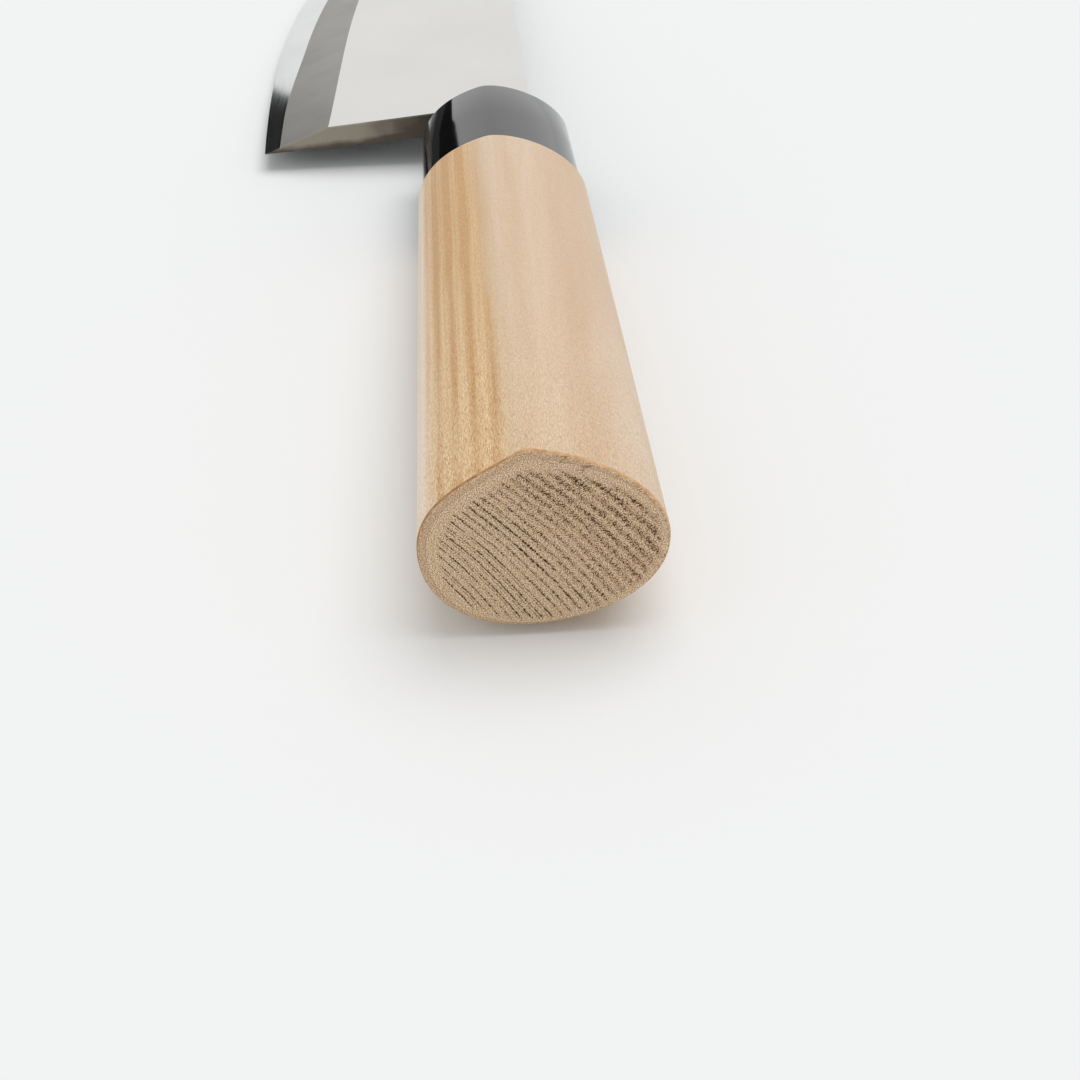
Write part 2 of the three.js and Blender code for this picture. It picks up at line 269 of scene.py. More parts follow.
def magnoliaSanded():
    # sanded long grain: pale peach on the spine side, honey with brown bands where the rings run out
    material, tree, shader, place = newMaterial("magnolia_sanded_long_grain", Sheen_Weight=0.25)
    across = growthRings(tree, place, wanderSize=0.9, wanderDetail=2.0)[1]
    along = addNode(tree, "ShaderNodeSeparateXYZ", {0: place}).node.outputs["X"]
    # honey wood begins beside the ridge, narrows a little ahead and pales again low on the edge side
    slanted = addNode(tree, "ShaderNodeMath", {0: along, 1: grip["honeySlant"], 2: across},
                      operation="MULTIPLY_ADD")
    start, full = grip["honey"]
    honey = addNode(tree, "ShaderNodeMapRange", {
        "Value": slanted, "From Min": start * mm, "From Max": full * mm}, interpolation_type="SMOOTHSTEP")
    start, full = grip["sapwood"]
    sapwood = addNode(tree, "ShaderNodeMapRange", {
        "Value": across, "From Min": start * mm, "From Max": full * mm, "To Max": 0.4})
    # soft clouds that keep the pale side from being even
    cloudPlace = addNode(tree, "ShaderNodeMapping", {"Vector": place, "Scale": perMms(*grip["cloud"])})
    cloud = addNode(tree, "ShaderNodeTexNoise", {"Vector": cloudPlace, "Scale": 1.0, "Detail": 2.0})
    pale = addNode(tree, "ShaderNodeMapRange", {"Value": cloud, "To Min": 0.1, "To Max": 0.3})
    # palest towards the ferrule and low on the spine side
    ahead = addNode(tree, "ShaderNodeMapRange", {
        "Value": along, "From Max": grip["length"] * mm, "To Max": -0.2})
    start, full = grip["spinePale"]
    spineward = addNode(tree, "ShaderNodeMapRange", {
        "Value": across, "From Min": start * mm, "From Max": full * mm, "To Max": -0.15})
    pale = addNode(tree, "ShaderNodeMath", {0: pale, 1: ahead}, operation="ADD")
    pale = addNode(tree, "ShaderNodeMath", {0: pale, 1: spineward}, operation="ADD")
    honeyed = addNode(tree, "ShaderNodeMapRange", {"Value": honey, "To Min": pale, "To Max": 0.6})
    paled = addNode(tree, "ShaderNodeMath", {0: honeyed, 1: sapwood}, operation="ADD")
    tone = addNode(tree, "ShaderNodeValToRGB", {"Fac": paled}, stops=grip["longTones"])
    # brown bands about 3 mm apart, wider apart towards the spine
    rate = addNode(tree, "ShaderNodeMath", {
        0: across, 1: grip["bandsTighten"] / mm ** 2, 2: grip["bandsPerMm"] / mm}, operation="MULTIPLY_ADD")
    bands = addNode(tree, "ShaderNodeMath", {0: across, 1: rate, 2: grip["bandStart"]},
                    operation="MULTIPLY_ADD")
    offBand = addNode(tree, "ShaderNodeMath", {0: bands, 1: 0.5}, operation="PINGPONG")
    band = addNode(tree, "ShaderNodeMapRange", {
        "Value": offBand, "From Min": 0.02, "From Max": 0.45, "To Min": 1.0, "To Max": 0.0},
        interpolation_type="SMOOTHSTEP")
    # the bands fade in and out along the wood, and finer streaks lie among them
    lane = addNode(tree, "ShaderNodeCombineXYZ", {"X": along, "Y": across})
    fadePlace = addNode(tree, "ShaderNodeMapping", {"Vector": lane, "Scale": perMms(*grip["bandFade"])})
    fade = addNode(tree, "ShaderNodeTexNoise", {"Vector": fadePlace, "Scale": 1.0, "Detail": 1.0},
                   noise_dimensions="2D")
    faded = addNode(tree, "ShaderNodeMapRange", {
        "Value": fade, "From Min": 0.32, "From Max": 0.6, "To Min": 0.4, "To Max": 1.0})
    streakPlace = addNode(tree, "ShaderNodeMapping", {"Vector": lane, "Scale": perMms(*grip["streak"])})
    streak = addNode(tree, "ShaderNodeTexNoise", {"Vector": streakPlace, "Scale": 1.0, "Detail": 2.5},
                     noise_dimensions="2D")
    streaked = addNode(tree, "ShaderNodeMapRange", {
        "Value": streak, "From Min": 0.3, "From Max": 0.7, "To Min": -0.2, "To Max": 0.28})
    bandShare = addNode(tree, "ShaderNodeMath", {0: band, 1: faded, 2: streaked}, operation="MULTIPLY_ADD")
    # they run together into brown away from the butt
    deeper = addNode(tree, "ShaderNodeMapRange", {
        "Value": along, "From Min": 5 * mm, "From Max": 75 * mm, "To Min": -0.2, "To Max": 0.55})
    bandShare = addNode(tree, "ShaderNodeMath", {0: bandShare, 1: deeper}, operation="ADD")
    heart = addNode(tree, "ShaderNodeMath", {0: sapwood, 1: -1.8, 2: honey}, operation="MULTIPLY_ADD")
    bandDepth = addNode(tree, "ShaderNodeMapRange", {
        "Value": heart, "From Min": 0.35, "To Min": 0.25, "To Max": 1.0})
    bandShare = addNode(tree, "ShaderNodeMath", {0: bandShare, 1: bandDepth}, operation="MULTIPLY")
    # one broad faint band on the pale side
    pastBroad = addNode(tree, "ShaderNodeMath", {0: across, 1: grip["broadBand"] * mm},
                        operation="SUBTRACT")
    offBroad = addNode(tree, "ShaderNodeMath", {0: pastBroad}, operation="ABSOLUTE")
    broad = addNode(tree, "ShaderNodeMapRange", {
        "Value": offBroad, "From Max": grip["broadBandReach"] * mm, "To Min": 0.26, "To Max": 0.0},
        interpolation_type="SMOOTHSTEP")
    bandShare = addNode(tree, "ShaderNodeMath", {0: bandShare, 1: broad}, operation="ADD")
    banded = addNode(tree, "ShaderNodeMix", {
        "Factor": bandShare, "A": tone, "B": grip["bandTone"]}, **stain)
    # fibres, really 0.03 mm wide, drawn twice as coarse so that they show
    fibrePlace = addNode(tree, "ShaderNodeMapping", {"Vector": place, "Scale": perMms(*grip["fibre"])})
    fibre = addNode(tree, "ShaderNodeTexNoise", {
        "Vector": fibrePlace, "Scale": 1.0, "Detail": 2.0, "Roughness": 0.6})
    # they are boldest in the honey wood and near the butt
    nearButt = addNode(tree, "ShaderNodeMapRange", {
        "Value": along, "From Max": 45 * mm, "To Min": 1.0, "To Max": 0.4})
    bolder = addNode(tree, "ShaderNodeMath", {0: bandDepth, 1: 0.22, 2: 0.32}, operation="MULTIPLY_ADD")
    fibreDepth = addNode(tree, "ShaderNodeMath", {0: nearButt, 1: bolder}, operation="MULTIPLY")
    lift = addNode(tree, "ShaderNodeMapRange", {
        "Value": fibre, "From Min": 0.3, "From Max": 0.7, "To Min": 1.0, "To Max": -1.0})
    lift = addNode(tree, "ShaderNodeMath", {0: lift, 1: fibreDepth}, operation="MULTIPLY")
    # dark fibres are warm, pale ones are cream
    fibred = addNode(tree, "ShaderNodeVectorMath", {0: lift, 1: (0.78, 1.05, 1.38), 2: (1, 1, 1)},
                     operation="MULTIPLY_ADD")
    fibrous = addNode(tree, "ShaderNodeMix", {"Factor": 1.0, "A": banded, "B": fibred}, **stain)
    # cut vessels: thin brown dashes, mostly in the honey wood
    vesselPlace = addNode(tree, "ShaderNodeMapping", {"Vector": place, "Scale": perMms(*grip["vessel"])})
    vessel = addNode(tree, "ShaderNodeTexNoise", {"Vector": vesselPlace, "Scale": 1.0, "Detail": 1.0})
    dash = addNode(tree, "ShaderNodeMapRange", {"Value": vessel, "From Min": 0.5, "From Max": 0.66})
    dash = addNode(tree, "ShaderNodeMath", {0: dash, 1: bandDepth}, operation="MULTIPLY")
    dash = addNode(tree, "ShaderNodeMath", {0: dash, 1: nearButt}, operation="MULTIPLY")
    grained = addNode(tree, "ShaderNodeMix", {
        "Factor": dash, "A": fibrous, "B": grip["dashTone"]}, **stain)
    rough = addNode(tree, "ShaderNodeMapRange", {
        "Value": fibre, "From Min": 0.3, "From Max": 0.7, "To Min": 0.5, "To Max": 0.66})
    bump = addNode(tree, "ShaderNodeBump", {"Height": fibre, "Strength": 0.4, "Distance": 0.05 * mm})
    wire(tree, shader, Base_Color=grained, Roughness=rough, Normal=bump)
    return material


def magnoliaSawn():
    # sawn and sanded end grain: taupe, with rows of dark open pores along the growth rings
    material, tree, shader, place = newMaterial(
        "magnolia_sawn_end_grain", Roughness=0.85, Specular_IOR_Level=0.25)
    turned, across = growthRings(tree, place, wanderSize=0.5, wanderDetail=3.0)
    rate = addNode(tree, "ShaderNodeMath", {
        0: across, 1: grip["ringsTighten"] / mm ** 2, 2: grip["ringsPerMm"] / mm}, operation="MULTIPLY_ADD")
    rings = addNode(tree, "ShaderNodeMath", {0: across, 1: rate}, operation="MULTIPLY")
    # thin lines on the edge side widen to bands of dots on the spine side
    sides = {"Value": across, "From Min": 4 * mm, "From Max": -4 * mm}
    rowWidth = addNode(tree, "ShaderNodeMapRange", {**sides, "To Min": 0.15, "To Max": 0.5})
    rowDepth = addNode(tree, "ShaderNodeMapRange", {
        **sides, "From Max": -1 * mm, "To Min": 1.1, "To Max": 0.42})
    strewn = addNode(tree, "ShaderNodeMapRange", {
        **sides, "From Max": -2.5 * mm, "To Min": 0.3, "To Max": 0.48})
    offLine = addNode(tree, "ShaderNodeMath", {0: rings, 1: 0.5}, operation="PINGPONG")
    row = addNode(tree, "ShaderNodeMapRange", {
        "Value": offLine, "From Max": rowWidth, "To Min": 1.0, "To Max": 0.0})
    # no two rings are as bold, and each comes and goes over a few millimetres
    ringNumber = addNode(tree, "ShaderNodeMath", {0: rings}, operation="ROUND")
    ringChance = addNode(tree, "ShaderNodeTexWhiteNoise", {"W": ringNumber}, noise_dimensions="1D")
    bold = addNode(tree, "ShaderNodeMapRange", {"Value": ringChance, "To Min": 0.65})
    breakPlace = addNode(tree, "ShaderNodeMapping", {"Vector": turned, "Scale": perMms(*grip["ringBreak"])})
    breaks = addNode(tree, "ShaderNodeTexNoise", {"Vector": breakPlace, "Scale": 1.0, "Detail": 1.0})
    shown = addNode(tree, "ShaderNodeMapRange", {
        "Value": breaks, "From Min": 0.34, "From Max": 0.5, "To Min": 0.5})
    depth = addNode(tree, "ShaderNodeMath", {0: rowDepth, 1: bold}, operation="MULTIPLY")
    depth = addNode(tree, "ShaderNodeMath", {0: depth, 1: shown}, operation="MULTIPLY")
    rowDensity = addNode(tree, "ShaderNodeMath", {0: row, 1: depth}, operation="MULTIPLY")
    # hairlines between the lines of the edge side
    hairs = addNode(tree, "ShaderNodeMath", {0: rings, 1: 2.0, 2: 0.3}, operation="MULTIPLY_ADD")
    offHair = addNode(tree, "ShaderNodeMath", {0: hairs, 1: 0.5}, operation="PINGPONG")
    hairNumber = addNode(tree, "ShaderNodeMath", {0: hairs}, operation="ROUND")
    hairBold = addNode(tree, "ShaderNodeTexWhiteNoise", {"W": hairNumber}, noise_dimensions="1D")
    hairDepth = addNode(tree, "ShaderNodeMapRange", {**sides, "To Min": 0.95, "To Max": 0.0})
    hair = addNode(tree, "ShaderNodeMapRange", {
        "Value": offHair, "From Max": 0.14, "To Min": hairDepth, "To Max": 0.0})
    hairDensity = addNode(tree, "ShaderNodeMath", {0: hair, 1: hairBold}, operation="MULTIPLY")
    density = addNode(tree, "ShaderNodeMath", {0: rowDensity, 1: hairDensity}, operation="MAXIMUM")
    density = addNode(tree, "ShaderNodeMath", {0: density, 1: strewn}, operation="ADD")
    # smooth margin inside the rim, wider on the edge side and at the ridge
    fromRim = addNode(tree, "ShaderNodeAttribute", attribute_name="fromRim").node.outputs["Fac"]
    wider = addNode(tree, "ShaderNodeVectorMath", {0: place, 1: (0, 45, 75)}, operation="DOT_PRODUCT")
    inward = addNode(tree, "ShaderNodeMath", {0: fromRim, 1: wider}, operation="SUBTRACT")
    ragged = addNode(tree, "ShaderNodeMath", {0: breaks, 1: 1.6, 2: inward}, operation="MULTIPLY_ADD")
    inside = addNode(tree, "ShaderNodeMapRange", {"Value": ragged, "From Min": 2.1, "From Max": 3.1})
    density = addNode(tree, "ShaderNodeMath", {0: density, 1: inside}, operation="MULTIPLY")
    # pores 0.1 mm across, drawn in larger cells so that they show, and larger where they crowd
    porePlace = addNode(tree, "ShaderNodeMapping", {
        "Vector": turned, "Rotation": (0, math.pi / 2, 0), "Scale": perMms(*grip["pore"])})
    fromPore = addNode(tree, "ShaderNodeTexVoronoi", {"Vector": porePlace, "Scale": 1.0},
                       voronoi_dimensions="2D")
    pores = addNode(tree, "ShaderNodeMath", {0: fromPore.node.outputs["Color"], 1: 0.8, 2: fromPore},
                    operation="MULTIPLY_ADD")
    above = addNode(tree, "ShaderNodeMath", {0: density, 1: pores}, operation="SUBTRACT")
    dark = addNode(tree, "ShaderNodeMapRange", {"Value": above, "From Min": -0.03, "From Max": 0.05})
    # cut fibres between the rows
    fuzz = addNode(tree, "ShaderNodeTexNoise", {
        "Vector": place, "Scale": perMm(grip["fuzz"]), "Detail": 2.0, "Roughness": 0.7})
    ground = addNode(tree, "ShaderNodeValToRGB", {"Fac": fuzz}, stops=grip["endTones"])
    # each ring darkens to a soft brown band, deeper on the spine side
    bandReach = addNode(tree, "ShaderNodeMapRange", {**sides, "To Min": 0.1, "To Max": 0.42})
    ringBand = addNode(tree, "ShaderNodeMapRange", {
        "Value": offLine, "From Min": 0.05, "From Max": 0.45, "To Min": bandReach, "To Max": 0.0})
    ringBand = addNode(tree, "ShaderNodeMath", {0: ringBand, 1: inside}, operation="MULTIPLY")
    ground = addNode(tree, "ShaderNodeMix", {
        "Factor": ringBand, "A": ground, "B": grip["ringTone"]}, **stain)
    # rubbed band along the rim with a darker inner line, broadest on the edge side
    broader = addNode(tree, "ShaderNodeVectorMath", {0: place, 1: (0, 25, 30)}, operation="DOT_PRODUCT")
    fromBand = addNode(tree, "ShaderNodeMath", {0: fromRim, 1: broader}, operation="SUBTRACT")
    bandShare = addNode(tree, "ShaderNodeMapRange", {
        "Value": fromBand, "From Min": 0.5, "From Max": 0.8, "To Min": 0.28, "To Max": 0.0})
    pastInner = addNode(tree, "ShaderNodeMath", {0: fromBand, 1: 0.72}, operation="SUBTRACT")
    offInner = addNode(tree, "ShaderNodeMath", {0: pastInner}, operation="ABSOLUTE")
    lineShare = addNode(tree, "ShaderNodeMapRange", {
        "Value": offInner, "From Max": 0.13, "To Min": shown, "To Max": 0.0})
    lineShare = addNode(tree, "ShaderNodeMath", {0: lineShare, 1: 0.35}, operation="MULTIPLY")
    rubbed = addNode(tree, "ShaderNodeMix", {
        "Factor": bandShare, "A": ground, "B": grip["rubbedTone"]}, **layer)
    lined = addNode(tree, "ShaderNodeMix", {
        "Factor": lineShare, "A": rubbed, "B": grip["lineTone"]}, **layer)
    # fine tears that run in from the rim on the spine side
    tearPlace = addNode(tree, "ShaderNodeMapping", {
        "Vector": place, "Rotation": (math.radians(15), 0, 0), "Scale": perMms(*grip["tear"])})
    tear = addNode(tree, "ShaderNodeTexNoise", {"Vector": tearPlace, "Scale": 1.0, "Detail": 1.0})
    pastTear = addNode(tree, "ShaderNodeMath", {0: tear, 1: 0.5}, operation="SUBTRACT")
    offTear = addNode(tree, "ShaderNodeMath", {0: pastTear}, operation="ABSOLUTE")
    tearShare = addNode(tree, "ShaderNodeMapRange", {
        "Value": offTear, "From Max": 0.016, "To Min": 0.6, "To Max": 0.0})
    tearSide = addNode(tree, "ShaderNodeMapRange", {
        "Value": across, "From Min": -7 * mm, "From Max": -9 * mm})
    tearReach = addNode(tree, "ShaderNodeMapRange", {
        "Value": fromRim, "From Min": 1.6, "From Max": 3.2, "To Min": 1.0, "To Max": 0.0})
    tearShare = addNode(tree, "ShaderNodeMath", {0: tearShare, 1: tearSide}, operation="MULTIPLY")
    tearShare = addNode(tree, "ShaderNodeMath", {0: tearShare, 1: tearReach}, operation="MULTIPLY")
    torn = addNode(tree, "ShaderNodeMix", {
        "Factor": tearShare, "A": lined, "B": grip["lineTone"]}, **layer)
    tone = addNode(tree, "ShaderNodeMix", {"Factor": dark, "A": torn, "B": grip["poreTone"]}, **layer)
    bump = addNode(tree, "ShaderNodeBump", {
        "Height": dark, "Strength": 0.35, "Distance": 0.06 * mm}, invert=True)
    wire(tree, shader, Base_Color=tone, Normal=bump)
    return material


def magnoliaBurnished():
    # corner rubbed round by sanding: brown on the edge side, pale orange on the spine side
    material, tree, shader, place = newMaterial("magnolia_burnished_corner", Roughness=0.6)
    across = addNode(tree, "ShaderNodeSeparateXYZ", {0: place}).node.outputs["Y"]
    side = addNode(tree, "ShaderNodeMapRange", {
        "Value": across, "From Min": 8 * mm, "From Max": -4 * mm, "To Min": -0.2, "To Max": 0.2})
    wear = addNode(tree, "ShaderNodeTexNoise", {"Vector": place, "Scale": perMm(0.9), "Detail": 4.0})
    worn = addNode(tree, "ShaderNodeMath", {0: wear, 1: side}, operation="ADD")
    tone = addNode(tree, "ShaderNodeValToRGB", {"Fac": worn}, stops=grip["cornerTones"])
    wire(tree, shader, Base_Color=tone)
    return material


def makeGrip():
    bm = bmesh.new()
    length, front = grip["length"], grip["length"] + grip["tenonLength"]
    stations = [(0, inset) for inset in grip["rimInsets"]] + roundedEnd(*grip["buttRounding"], steps=4)
    stations += [(x, 0) for x in grip["stations"]]
    stations += [(length - a, inset) for a, inset in reversed(roundedEnd(*grip["shoulderRounding"]))]
    fromRim = bm.verts.layers.float.new("fromRim")
    rings = []
    for x, inset in stations:
        size = blendSize(grip["butt"], grip["shoulder"], x / length)
        rings.append(addRing(bm, ovalPoints(x, size, inset)))
        for edge in rings[-1]:
            edge.verts[0][fromRim] = edge.verts[1][fromRim] = inset
    rings += [addRing(bm, ovalPoints(x, grip["tenon"])) for x in (length, front)]
    bridgeRings(bm, rings)
    capRing(bm, rings[0])
    # blind hole for the tang
    mouth = addRing(bm, tangPoints(front, tang["holeMargin"]))
    bottom = addRing(bm, tangPoints(tang["end"] - tang["holeMargin"], tang["holeMargin"]))
    fillBetween(bm, rings[-1], mouth)
    bridgeRings(bm, [mouth, bottom])
    capRing(bm, bottom)
    tidyNormals(bm)
    for face in bm.faces:
        fromButt = face.calc_center_median().x / grip["buttRounding"][0]
        if abs(face.normal.x) > square or fromButt < grip["sawnShare"]:
            face.material_index = 1
        elif fromButt < 1:
            face.material_index = 2
    finishPiece(bm, "magnolia_grip", [magnoliaSanded(), magnoliaSawn(), magnoliaBurnished()],
                "handle_grip", sharpAngle=35)


# ferrule of black resin

ferrule = {
    "rear": (27.5, 20.5, 3.5, 12), "nose": (26.7, 19.7, 3.5, 12), "socket": (21.9, 14.9, 3.5, 12),
    "start": 106.5, "length": 27, "socketEnd": 123.8,
    "noseRounding": (0.8, 0.8), "mouthChamfer": 0.25, "mouthCorner": 0.6,
}


def resinPolished():
    # moulded and buffed: black under a clear gloss that is a little uneven
    material, tree, shader, place = newMaterial(
        "black_resin_polished", Base_Color=linear("#070708"), IOR=1.55)
    swirl = addNode(tree, "ShaderNodeTexNoise", {"Vector": place, "Scale": perMm(1.2), "Detail": 4.0})
    rough = addNode(tree, "ShaderNodeMapRange", {
        "Value": swirl, "From Min": 0.3, "From Max": 0.7, "To Min": 0.05, "To Max": 0.09})
    wave = addNode(tree, "ShaderNodeTexNoise", {"Vector": place, "Scale": perMm(4.0), "Detail": 1.0})
    bump = addNode(tree, "ShaderNodeBump", {"Height": wave, "Strength": 0.15, "Distance": 0.05 * mm})
    wire(tree, shader, Roughness=rough, Normal=bump)
    return material


def makeFerrule():
    bm = bmesh.new()
    start, length, socketEnd = ferrule["start"], ferrule["length"], ferrule["socketEnd"]
    end = start + length
    stations = [(start, 0), (start + length / 2, 0)]
    stations += [(end - a, inset) for a, inset in reversed(roundedEnd(*ferrule["noseRounding"]))]
    outer = []
    for x, inset in stations:
        size = blendSize(ferrule["rear"], ferrule["nose"], (x - start) / length)
        outer.append(addRing(bm, ovalPoints(x, size, inset)))
    socket = [addRing(bm, ovalPoints(x, ferrule["socket"])) for x in (socketEnd, start)]
    bridgeRings(bm, outer)
    bridgeRings(bm, socket + [outer[0]])
    # mouth for the neck, chamfered at the nose and open to the socket
    margin, chamfer = tang["mouthMargin"], ferrule["mouthChamfer"]
    mouth = [addRing(bm, softCorners(tangPoints(x, grown), ferrule["mouthCorner"])) for x, grown in (
        (end, margin + chamfer), (end - chamfer, margin), (socketEnd, margin))]
    bridgeRings(bm, mouth)
    fillBetween(bm, outer[-1], mouth[0])
    fillBetween(bm, socket[0], mouth[-1])
    tidyNormals(bm)
    finishPiece(bm, "resin_ferrule", [resinPolished()], "ferrule", sharpAngle=40)


# blade: soft iron welded over a layer of hard steel

blade = {
    "choil": 145.0, "edgeLength": 180.0, "spineRise": 6.9, "thickness": 5.0,
    "lengthwiseTaper": 0.0125, "crosswiseTaper": 0.027, "backLevel": -3.35,
    "weldLevel": -2.4, "weldSwell": 0.3, "swellStart": 15.0, "swellLength": 40.0,
    "spineDrop": 4.2, "spineDropLength": 65.0, "shinogiEnd": 168.0, "tipThickness": 0.35, "steps": 72,
    "edge": ((0, 44), (70, 46.9), (150, 43), (180, -2.0)),
    "shinogi": ((0, 31.3), (62, 28.3), (140, 31), (168, -4.09)),
    "hollowDepth": 0.35, "hollowMargin": 4.0, "hollowFade": 12.0,
    "easing": 0.22, "easedAngle": 50, "easedAboveWeld": 0.4, "thinnestIron": 0.03, "leastWidth": 0.05,
    "curveSteps": 2000, "hollowSteps": 8, "leastHollow": 0.1,
    # parts of a face's normal: a side has less Z than this, and a bevel has more Y
    "ironSide": 0.3, "steelSide": 0.5, "bevelTilt": 0.08,
}
# painted shade on the ground iron: darker near the neck, where the ferrule shades it, fading out between
# these mm from the axis, and darker low on the side, in the shade under the blade
paintedShade = {"fade": (13, 27), "fadeTone": (0.05, 0.55), "low": (-3.3, -1.8), "lowTone": -0.5}
curveSamples = {name: interpolate_bezier(*(Vector(p) for p in blade[name]), blade["curveSteps"])
                for name in ("edge", "shinogi")}


def smoothShare(value, start, length):
    share = min(1.0, max(0.0, (value - start) / length))
    return share * share * (3 - 2 * share)


def spineAt(run):
    past = max(0.0, run - blade["edgeLength"] + blade["spineDropLength"]) / blade["spineDropLength"]
    return -blade["spineRise"] + blade["spineDrop"] * past ** 2


def curveAt(name, run):
    for a, b in zip(curveSamples[name], curveSamples[name][1:]):
        if b.x >= run:
            return a.y + (b.y - a.y) * (run - a.x) / max(b.x - a.x, 1e-9)
    return curveSamples[name][-1].y


def flatAt(run, y):
    drop = blade["lengthwiseTaper"] * run + blade["crosswiseTaper"] * (y + blade["spineRise"])
    return blade["backLevel"] + blade["thickness"] - drop


def weldAt(run):
    swell = smoothShare(run, blade["swellStart"], blade["swellLength"])
    return blade["weldLevel"] + blade["weldSwell"] * swell


def cornersAt(run):  # spine, shinogi and edge at a distance from the heel
    spineY, edgeY = spineAt(run), curveAt("edge", run)
    if run < blade["shinogiEnd"]:
        shinogiY = curveAt("shinogi", run)
        return spineY, flatAt(run, spineY), shinogiY, flatAt(run, shinogiY), edgeY
    share = (run - blade["shinogiEnd"]) / (blade["edgeLength"] - blade["shinogiEnd"])
    tipLevel = blade["backLevel"] + blade["tipThickness"]
    top = flatAt(blade["shinogiEnd"], spineY) * (1 - share) + tipLevel * share
    return spineY, top, spineY, top, edgeY


def bevelAt(corners, level):  # where the bevel passes a level
    shinogiY, shinogiZ, edgeY = corners[2:]
    return edgeY + (shinogiY - edgeY) * (level - blade["backLevel"]) / (shinogiZ - blade["backLevel"])


def hollowAt(run, spineY, edgeY):  # middle, half width and depth of the hollow back
    half = max((edgeY - spineY) / 2 - blade["hollowMargin"], blade["leastHollow"])
    fade = smoothShare(run, blade["hollowMargin"], blade["hollowFade"])
    return (edgeY + spineY) / 2, half, blade["hollowDepth"] * min(1.0, half / blade["hollowFade"]) * fade


def findIronEnd():  # distance from the heel where the iron has tapered out over the weld
    low, high = blade["shinogiEnd"], blade["edgeLength"]
    while high - low > nearly:
        run = (low + high) / 2
        if cornersAt(run)[1] - weldAt(run) > blade["thinnestIron"]:
            low = run
        else:
            high = run
    return low


ironEnd = findIronEnd()
bladeRuns = [p.x for p in interpolate_bezier(*(Vector(p) for p in blade["edge"]), blade["steps"] + 1)]
bladeRuns = sorted(bladeRuns + [ironEnd])


def metal(name, tones, lineSize, lineDepth, roughness, cloudSize, withPaintedShade=False):
    # tones differ in soft clouds, and fine lines left by the stones catch the light
    material, tree, shader, place = newMaterial(name, Metallic=1.0)
    cloud = addNode(tree, "ShaderNodeTexNoise", {"Vector": place, "Scale": perMm(cloudSize), "Detail": 4.0})
    if withPaintedShade:  # painted shade near the neck, where the ferrule shades the choil
        fromAxis = addNode(tree, "ShaderNodeSeparateXYZ", {0: place}).node.outputs
        start, end = paintedShade["fade"]
        shadedTone, unshadedTone = paintedShade["fadeTone"]
        unshaded = addNode(tree, "ShaderNodeMapRange", {
            "Value": fromAxis["Y"], "From Min": start * mm, "From Max": end * mm,
            "To Min": shadedTone, "To Max": unshadedTone})
        # and painted shade low down towards the back, under the blade
        start, end = paintedShade["low"]
        low = addNode(tree, "ShaderNodeMapRange", {
            "Value": fromAxis["Z"], "From Min": start * mm, "From Max": end * mm,
            "To Min": paintedShade["lowTone"], "To Max": 0.0})
        unshaded = addNode(tree, "ShaderNodeMath", {0: unshaded, 1: low}, operation="ADD")
        cloud = addNode(tree, "ShaderNodeMath", {0: cloud, 1: 0.4, 2: unshaded}, operation="MULTIPLY_ADD")
    tone = addNode(tree, "ShaderNodeValToRGB", {"Fac": cloud}, stops=[(0.32, tones[0]), (0.68, tones[1])])
    linePlace = addNode(tree, "ShaderNodeMapping", {"Vector": place, "Scale": perMms(*lineSize)})
    lines = addNode(tree, "ShaderNodeTexNoise", {"Vector": linePlace, "Scale": 1.0, "Detail": 3.0})
    rough = addNode(tree, "ShaderNodeMapRange", {
        "Value": lines, "From Min": 0.3, "From Max": 0.7, "To Min": roughness[0], "To Max": roughness[1]})
    bump = addNode(tree, "ShaderNodeBump", {"Height": lines, "Strength": lineDepth, "Distance": 0.02 * mm})
    wire(tree, shader, Base_Color=tone, Roughness=rough, Normal=bump)
    return material


def ironBuffed():  # bright flat with hairlines along the blade
    return metal("soft_iron_buffed_flat", tones=("#d3d2cf", "#d8d7d4"), lineSize=(40, 0.25, 0.25),
                 lineDepth=0.01, roughness=(0.2, 0.25), cloudSize=30)


def ironStoned():  # soft grey haze with short strokes towards the edge
    return metal("soft_iron_stoned_bevel", tones=("#979590", "#a19f9a"), lineSize=(0.22, 7, 7),
                 lineDepth=0.1, roughness=(0.36, 0.44), cloudSize=9)


def ironGround():  # choil, spine and neck: left as ground, dull with a brown cast, with painted shade near the neck and low on the side
    return metal("soft_iron_ground_raw", tones=("#5a534a", "#948d80"), lineSize=(0.2, 0.2, 5),
                 lineDepth=0.3, roughness=(0.4, 0.55), cloudSize=4, withPaintedShade=True)


def steelPolished():  # near mirror with hairlines along the edge
    return metal("hard_steel_fine_polished", tones=("#cdd0d0", "#d6d9d9"), lineSize=(16, 0.2, 0.2),
                 lineDepth=0.02, roughness=(0.07, 0.12), cloudSize=12)


def steelHollow():  # ground on a wheel: satin with lines across the blade
    return metal("hard_steel_hollow_ground", tones=("#b4b5b5", "#c2c3c3"), lineSize=(0.25, 9, 9),
                 lineDepth=0.1, roughness=(0.24, 0.32), cloudSize=14)


